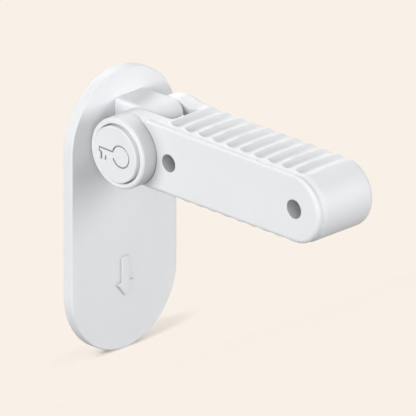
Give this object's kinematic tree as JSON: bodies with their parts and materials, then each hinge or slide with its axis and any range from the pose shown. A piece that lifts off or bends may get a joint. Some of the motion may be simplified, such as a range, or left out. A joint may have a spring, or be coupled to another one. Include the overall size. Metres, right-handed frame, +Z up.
{
  "type": "door lever lock",
  "caption": "White plastic child-safety lock for a door with a lever handle: a fold-down arm on a stick-on plate, freed by pressing the round button at its pivot.",
  "frame": {"origin": "centre of the adhesive pad's back face, on the door's surface", "axes": "+Y into the door, +Z up, +X to the right of someone facing the door; the arm stands out along -Y"},
  "size_m": [0.048, 0.104, 0.097],
  "materials": {
    "white_plastic": "white moulded plastic, fine satin",
    "adhesive_foam": "off-white foam tape, matte",
    "screw_steel": "zinc-plated steel, satin",
    "grey_acetal": "grey bearing plastic, satin"
  },
  "bodies": {
    "base": {"base_plate": "white_plastic", "adhesive_pad": "adhesive_foam", "hinge_block": "white_plastic", "block_screw_upper": "screw_steel", "block_screw_lower": "screw_steel"},
    "arm": {"arm_body": "white_plastic", "arm_cover": "white_plastic", "arm_screw_rear": "screw_steel", "arm_screw_front": "screw_steel", "pivot_screw": "screw_steel"},
    "button": {"lock_button": "white_plastic", "lock_bolt": "grey_acetal", "button_screw": "screw_steel", "button_spring": "screw_steel"}
  },
  "joints": [
    {"name": "arm_fold", "type": "hinge", "parent": "base", "child": "arm", "pos_m": [0, -0.0184, 0.0277], "axis": [1, 0, 0], "range_deg": [0, 90]},
    {"name": "button_press", "type": "slide", "parent": "arm", "child": "button", "axis": [1, 0, 0], "range_m": [0, 0.003], "stiffness_N_per_m": 900, "springref_m": -0.0015, "deforming": ["button_spring"]}
  ]
}
